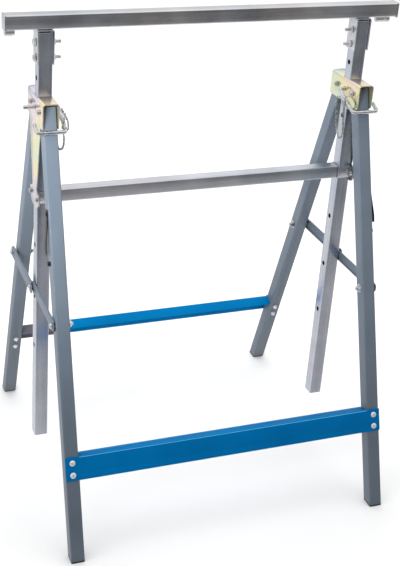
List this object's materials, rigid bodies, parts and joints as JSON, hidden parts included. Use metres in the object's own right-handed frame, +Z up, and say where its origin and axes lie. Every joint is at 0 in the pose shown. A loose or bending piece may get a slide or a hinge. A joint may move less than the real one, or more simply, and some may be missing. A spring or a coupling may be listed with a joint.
{
  "type": "folding sawhorse",
  "caption": "Folding sawhorse: splayed tube legs with hinged stays, blue cross bars, and a height-adjustable top bar held by chained locking pins.",
  "frame": {"origin": "on the floor, midway between the four feet", "axes": "+Z up, X along the top bar, -Y towards the front legs with the deep blue cross bar and the transport clips"},
  "size_m": [0.7, 0.5656, 0.8715],
  "materials": {
    "zinc_tube": "bright zinc plated steel tube, semi-gloss with streaks along its length",
    "bright_zinc_sheet": "bright zinc plated pressed steel sheet",
    "yellow_zinc_sheet": "yellow passivated zinc with an iridescent yellow, pink and green sheen",
    "bolt_zinc": "bright zinc plated fasteners",
    "chain_steel": "small bright steel chain",
    "dark_spring_steel": "dark oiled spring steel strip",
    "grey_paint": "blue-grey powder coat, semi-gloss",
    "blue_paint": "bright blue powder coat, semi-gloss, no lettering",
    "black_plastic": "black moulded plastic foot plugs"
  },
  "bodies": {
    "head": {"head_bracket_left": "yellow_zinc_sheet", "head_bracket_right": "yellow_zinc_sheet", "middle_bar": "zinc_tube", "post_guide_left": "yellow_zinc_sheet", "post_guide_right": "yellow_zinc_sheet", "guide_bolt_front_left": "bolt_zinc", "leg_pivot_bolt_front_left": "bolt_zinc", "guide_bolt_back_left": "bolt_zinc", "leg_pivot_bolt_back_left": "bolt_zinc", "guide_bolt_front_right": "bolt_zinc", "leg_pivot_bolt_front_right": "bolt_zinc", "guide_bolt_back_right": "bolt_zinc", "leg_pivot_bolt_back_right": "bolt_zinc", "pin_chain_left": "chain_steel", "pin_chain_right": "chain_steel"},
    "top": {"top_bar": "zinc_tube", "end_stop_left": "zinc_tube", "saddle_left": "bright_zinc_sheet", "post_left": "zinc_tube", "saddle_bolt_upper_left": "bolt_zinc", "saddle_bolt_lower_left": "bolt_zinc", "end_stop_right": "zinc_tube", "saddle_right": "bright_zinc_sheet", "post_right": "zinc_tube", "saddle_bolt_upper_right": "bolt_zinc", "saddle_bolt_lower_right": "bolt_zinc"},
    "front_frame": {"leg_front_left": "grey_paint", "foot_front_left": "black_plastic", "cross_screw_upper_front_left": "bolt_zinc", "cross_screw_lower_front_left": "bolt_zinc", "stay_bolt_front_left": "bolt_zinc", "transport_clip_left": "dark_spring_steel", "leg_front_right": "grey_paint", "foot_front_right": "black_plastic", "cross_screw_upper_front_right": "bolt_zinc", "cross_screw_lower_front_right": "bolt_zinc", "stay_bolt_front_right": "bolt_zinc", "transport_clip_right": "dark_spring_steel", "front_cross_bar": "blue_paint"},
    "back_frame": {"leg_back_left": "grey_paint", "foot_back_left": "black_plastic", "cross_screw_upper_back_left": "bolt_zinc", "cross_screw_lower_back_left": "bolt_zinc", "stay_bolt_back_left": "bolt_zinc", "leg_back_right": "grey_paint", "foot_back_right": "black_plastic", "cross_screw_upper_back_right": "bolt_zinc", "cross_screw_lower_back_right": "bolt_zinc", "stay_bolt_back_right": "bolt_zinc", "back_cross_bar": "blue_paint"},
    "front_links": {"stay_front_left": "grey_paint", "stay_front_right": "grey_paint"},
    "back_links": {"stay_back_left": "grey_paint", "stay_back_right": "grey_paint", "stay_rivet_left": "bolt_zinc", "stay_rivet_right": "bolt_zinc"},
    "pin_left": {"lock_pin_left": "bolt_zinc", "lock_pin_end_left": "bolt_zinc"},
    "pin_right": {"lock_pin_right": "bolt_zinc", "lock_pin_end_right": "bolt_zinc"}
  },
  "joints": [
    {"name": "fold", "type": "hinge", "parent": "head", "child": "front_frame", "pos_m": [0, -0.0294, 0.7155], "axis": [1, 0, 0], "range_deg": [0, 15]},
    {"name": "fold_back", "type": "hinge", "parent": "head", "child": "back_frame", "pos_m": [0, 0.0294, 0.7155], "axis": [-1, 0, 0], "range_deg": [0, 15]},
    {"name": "stay_front", "type": "hinge", "parent": "front_frame", "child": "front_links", "pos_m": [0, -0.14111, 0.38317], "axis": [1, 0, 0], "range_deg": [0, 53.7]},
    {"name": "stay_back", "type": "hinge", "parent": "back_frame", "child": "back_links", "pos_m": [0, 0.14111, 0.38317], "axis": [-1, 0, 0], "range_deg": [0, 53.7]},
    {"name": "height", "type": "slide", "parent": "head", "child": "top", "axis": [0, 0, 1], "range_m": [-0.05, 0.45]},
    {"name": "pin_swing_left", "type": "hinge", "parent": "head", "child": "pin_left", "pos_m": [-0.284, 0, 0.7155], "axis": [-1, 0, 0], "range_deg": [0, 90], "deforming": ["pin_chain_left"]},
    {"name": "pin_swing_right", "type": "hinge", "parent": "head", "child": "pin_right", "pos_m": [0.284, 0, 0.7155], "axis": [-1, 0, 0], "range_deg": [0, 90], "deforming": ["pin_chain_right"]}
  ],
  "couplings": [
    {"joint": "fold_back", "follows": "fold", "ratio": 1},
    {"joint": "stay_front", "follows": "fold", "ratio": 3.578},
    {"joint": "stay_back", "follows": "fold", "ratio": 3.578}
  ]
}
